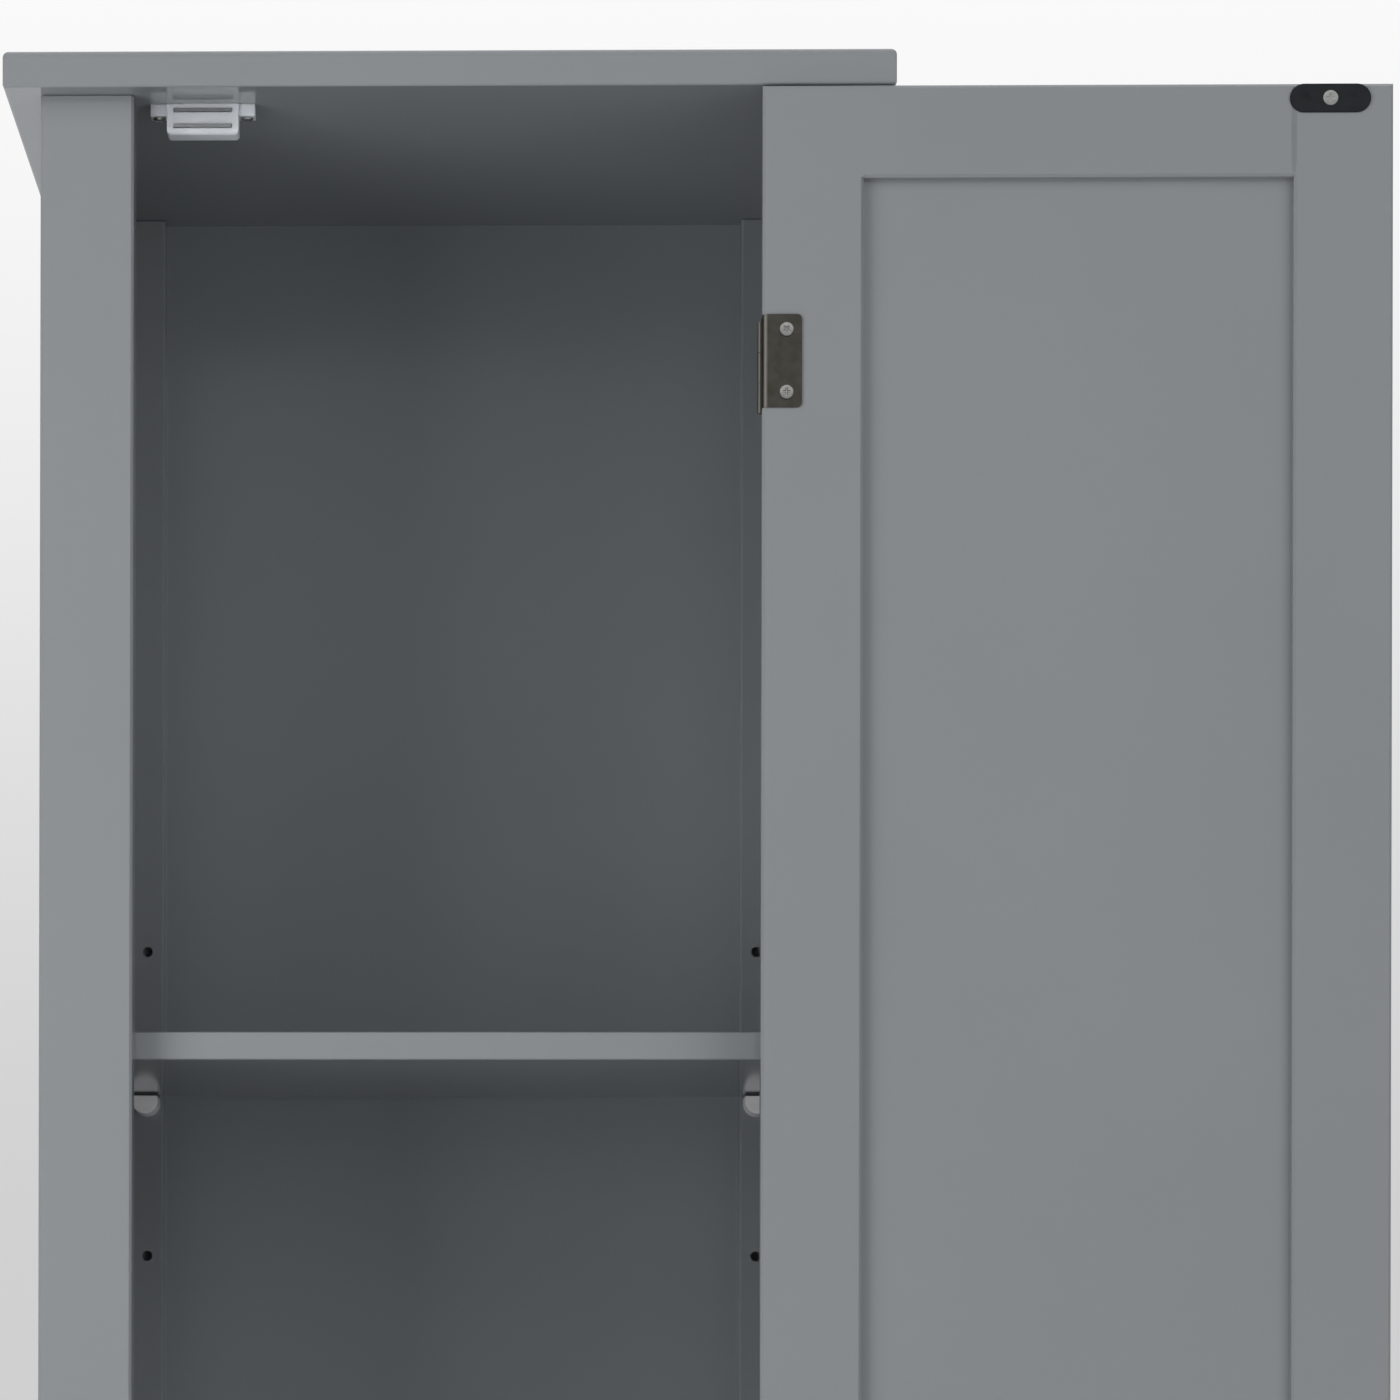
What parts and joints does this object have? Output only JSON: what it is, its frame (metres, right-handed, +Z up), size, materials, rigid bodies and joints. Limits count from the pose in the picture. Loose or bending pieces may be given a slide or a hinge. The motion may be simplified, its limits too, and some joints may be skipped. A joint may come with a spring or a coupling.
{
  "type": "tall storage cabinet",
  "caption": "Tall narrow painted storage cabinet with framed hinged doors over shelved spaces, adjustable shelves on pegs, magnetic catches and an overhanging top.",
  "frame": {"origin": "on the floor, midway between the four feet", "axes": "+X to the right of someone who faces the doors, +Y from the doors towards the back, +Z up"},
  "size_m": [0.6203, 0.3065, 1.6],
  "materials": {
    "painted_board": "smooth semi-gloss blue-grey paint on board",
    "painted_back": "smooth semi-gloss blue-grey paint on thin fibreboard",
    "hinge_bronze": "dark antique bronze on pressed steel",
    "knob_bronze": "dark antique bronze on turned metal",
    "strike_black": "satin black on pressed steel",
    "catch_plastic": "light grey moulded plastic",
    "peg_plastic": "pale moulded nylon",
    "pad_rubber": "soft black rubber",
    "pole_steel": "plain zinc-plated steel",
    "magnet": "dark sintered ferrite",
    "glide_plastic": "dark hard plastic"
  },
  "bodies": {
    "cabinet": {"top_panel": "painted_board", "front_left_post": "painted_board", "front_right_post": "painted_board", "rear_left_post": "painted_board", "rear_right_post": "painted_board", "left_side_panel": "painted_board", "right_side_panel": "painted_board", "middle_board": "painted_board", "bottom_board": "painted_board", "front_base_rail": "painted_board", "rear_base_rail": "painted_board", "back_panel": "painted_back", "floor_glides": "glide_plastic", "upper_shelf": "painted_board", "upper_shelf_pegs": "peg_plastic", "upper_shelf_peg_pads": "pad_rubber", "upper_catch_housing": "catch_plastic", "upper_catch_pole_plates": "pole_steel", "upper_catch_magnet": "magnet", "upper_top_frame_leaf": "hinge_bronze", "upper_bottom_frame_leaf": "hinge_bronze", "lower_shelf": "painted_board", "lower_shelf_pegs": "peg_plastic", "lower_shelf_peg_pads": "pad_rubber", "lower_catch_housing": "catch_plastic", "lower_catch_pole_plates": "pole_steel", "lower_catch_magnet": "magnet", "lower_top_frame_leaf": "hinge_bronze", "lower_bottom_frame_leaf": "hinge_bronze"},
    "upper_door": {"upper_door_latch_stile": "painted_board", "upper_door_hinge_stile": "painted_board", "upper_door_top_rail": "painted_board", "upper_door_bottom_rail": "painted_board", "upper_door_panel": "painted_board", "upper_door_strike_plate": "strike_black", "upper_door_knob": "knob_bronze", "upper_door_top_hinge_leaf": "hinge_bronze", "upper_door_bottom_hinge_leaf": "hinge_bronze"},
    "lower_door": {"lower_door_latch_stile": "painted_board", "lower_door_hinge_stile": "painted_board", "lower_door_top_rail": "painted_board", "lower_door_bottom_rail": "painted_board", "lower_door_panel": "painted_board", "lower_door_strike_plate": "strike_black", "lower_door_knob": "knob_bronze", "lower_door_top_hinge_leaf": "hinge_bronze", "lower_door_bottom_hinge_leaf": "hinge_bronze"}
  },
  "joints": [
    {"name": "upper_door_hinge", "type": "hinge", "parent": "cabinet", "child": "upper_door", "pos_m": [0.14025, -0.1432, 1.1473], "axis": [0, 0, 1], "range_deg": [-180, 0]},
    {"name": "lower_door_hinge", "type": "hinge", "parent": "cabinet", "child": "lower_door", "pos_m": [0.14025, -0.1432, 0.41055], "axis": [0, 0, 1], "range_deg": [0, 180]}
  ]
}
